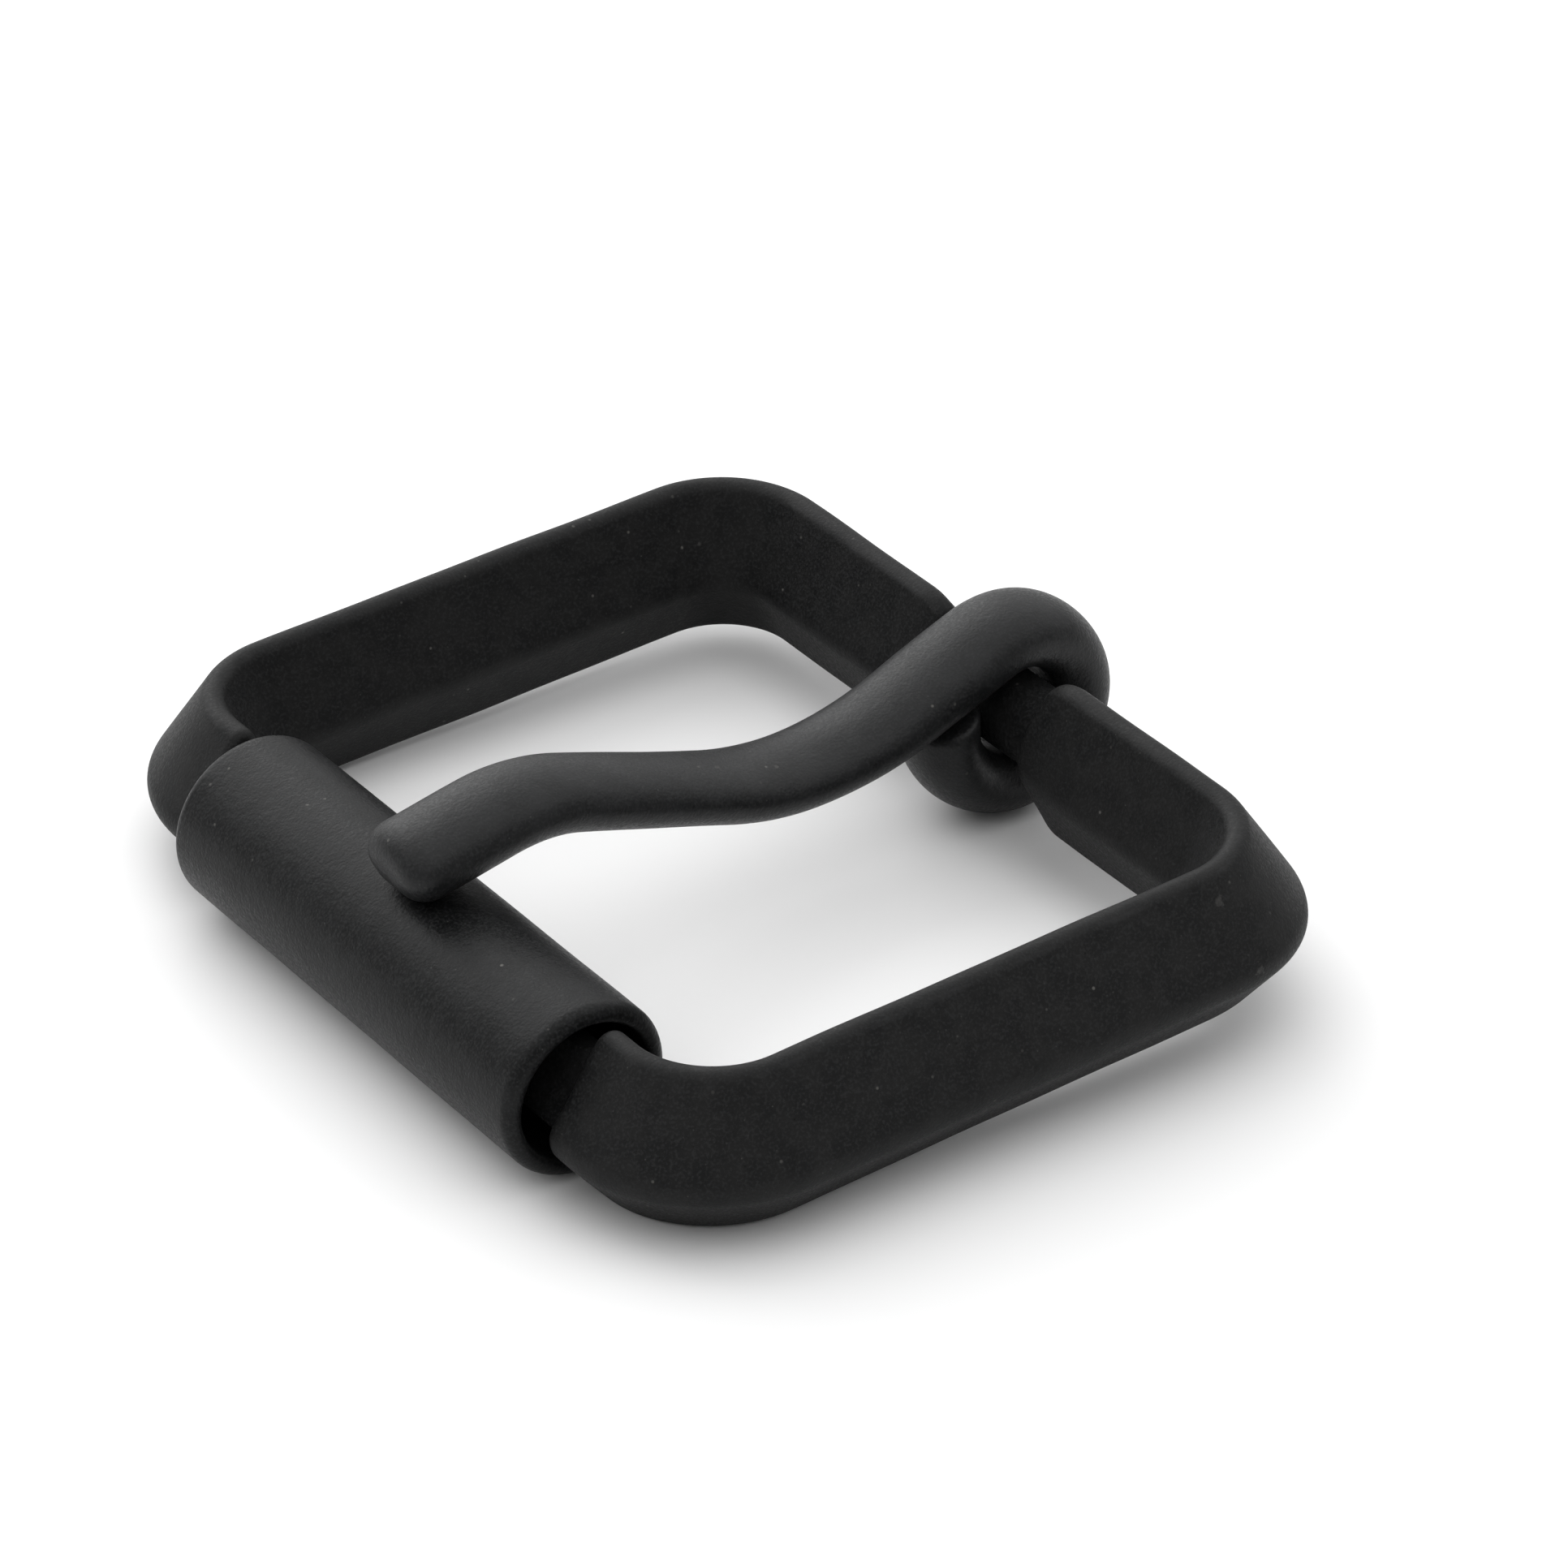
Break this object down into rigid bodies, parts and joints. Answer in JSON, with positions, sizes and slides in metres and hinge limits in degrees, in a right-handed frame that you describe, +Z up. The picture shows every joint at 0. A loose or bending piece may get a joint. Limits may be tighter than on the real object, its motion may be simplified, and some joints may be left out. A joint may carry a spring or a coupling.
{
  "type": "belt buckle",
  "caption": "Roller buckle for a belt: a rounded rectangular frame with a loose roller on its front bar and a curved prong hinged on the heel bar, in matte black.",
  "frame": {"origin": "middle of the base on the surface that the buckle lies on, with the buckle leaning back on the prong's curl", "axes": "+X along the belt from the heel bar to the roller, +Y across the belt, +Z up through the face that shows when it is worn. The frame's own flat back is tilted about Y by 2.23 degrees from the XY plane"},
  "size_m": [0.0362, 0.0394, 0.0104],
  "materials": {
    "frame_coating": "matte black coating on a cast zinc frame",
    "roller_coating": "matte black coating on a bent sheet steel tube",
    "prong_coating": "matte black coating on a formed steel prong"
  },
  "bodies": {
    "frame": {"frame": "frame_coating"},
    "roller": {"roller": "roller_coating"},
    "prong": {"prong": "prong_coating"}
  },
  "joints": [
    {"name": "prong_hinge", "type": "hinge", "parent": "frame", "child": "prong", "pos_m": [-0.01349, 0, 0.0046], "axis": [0, -1, 0], "range_deg": [0, 170]},
    {"name": "roller_spin", "type": "hinge", "parent": "frame", "child": "roller", "pos_m": [0.01454, 0, 0.00361], "axis": [0, 1, 0], "continuous": true}
  ]
}
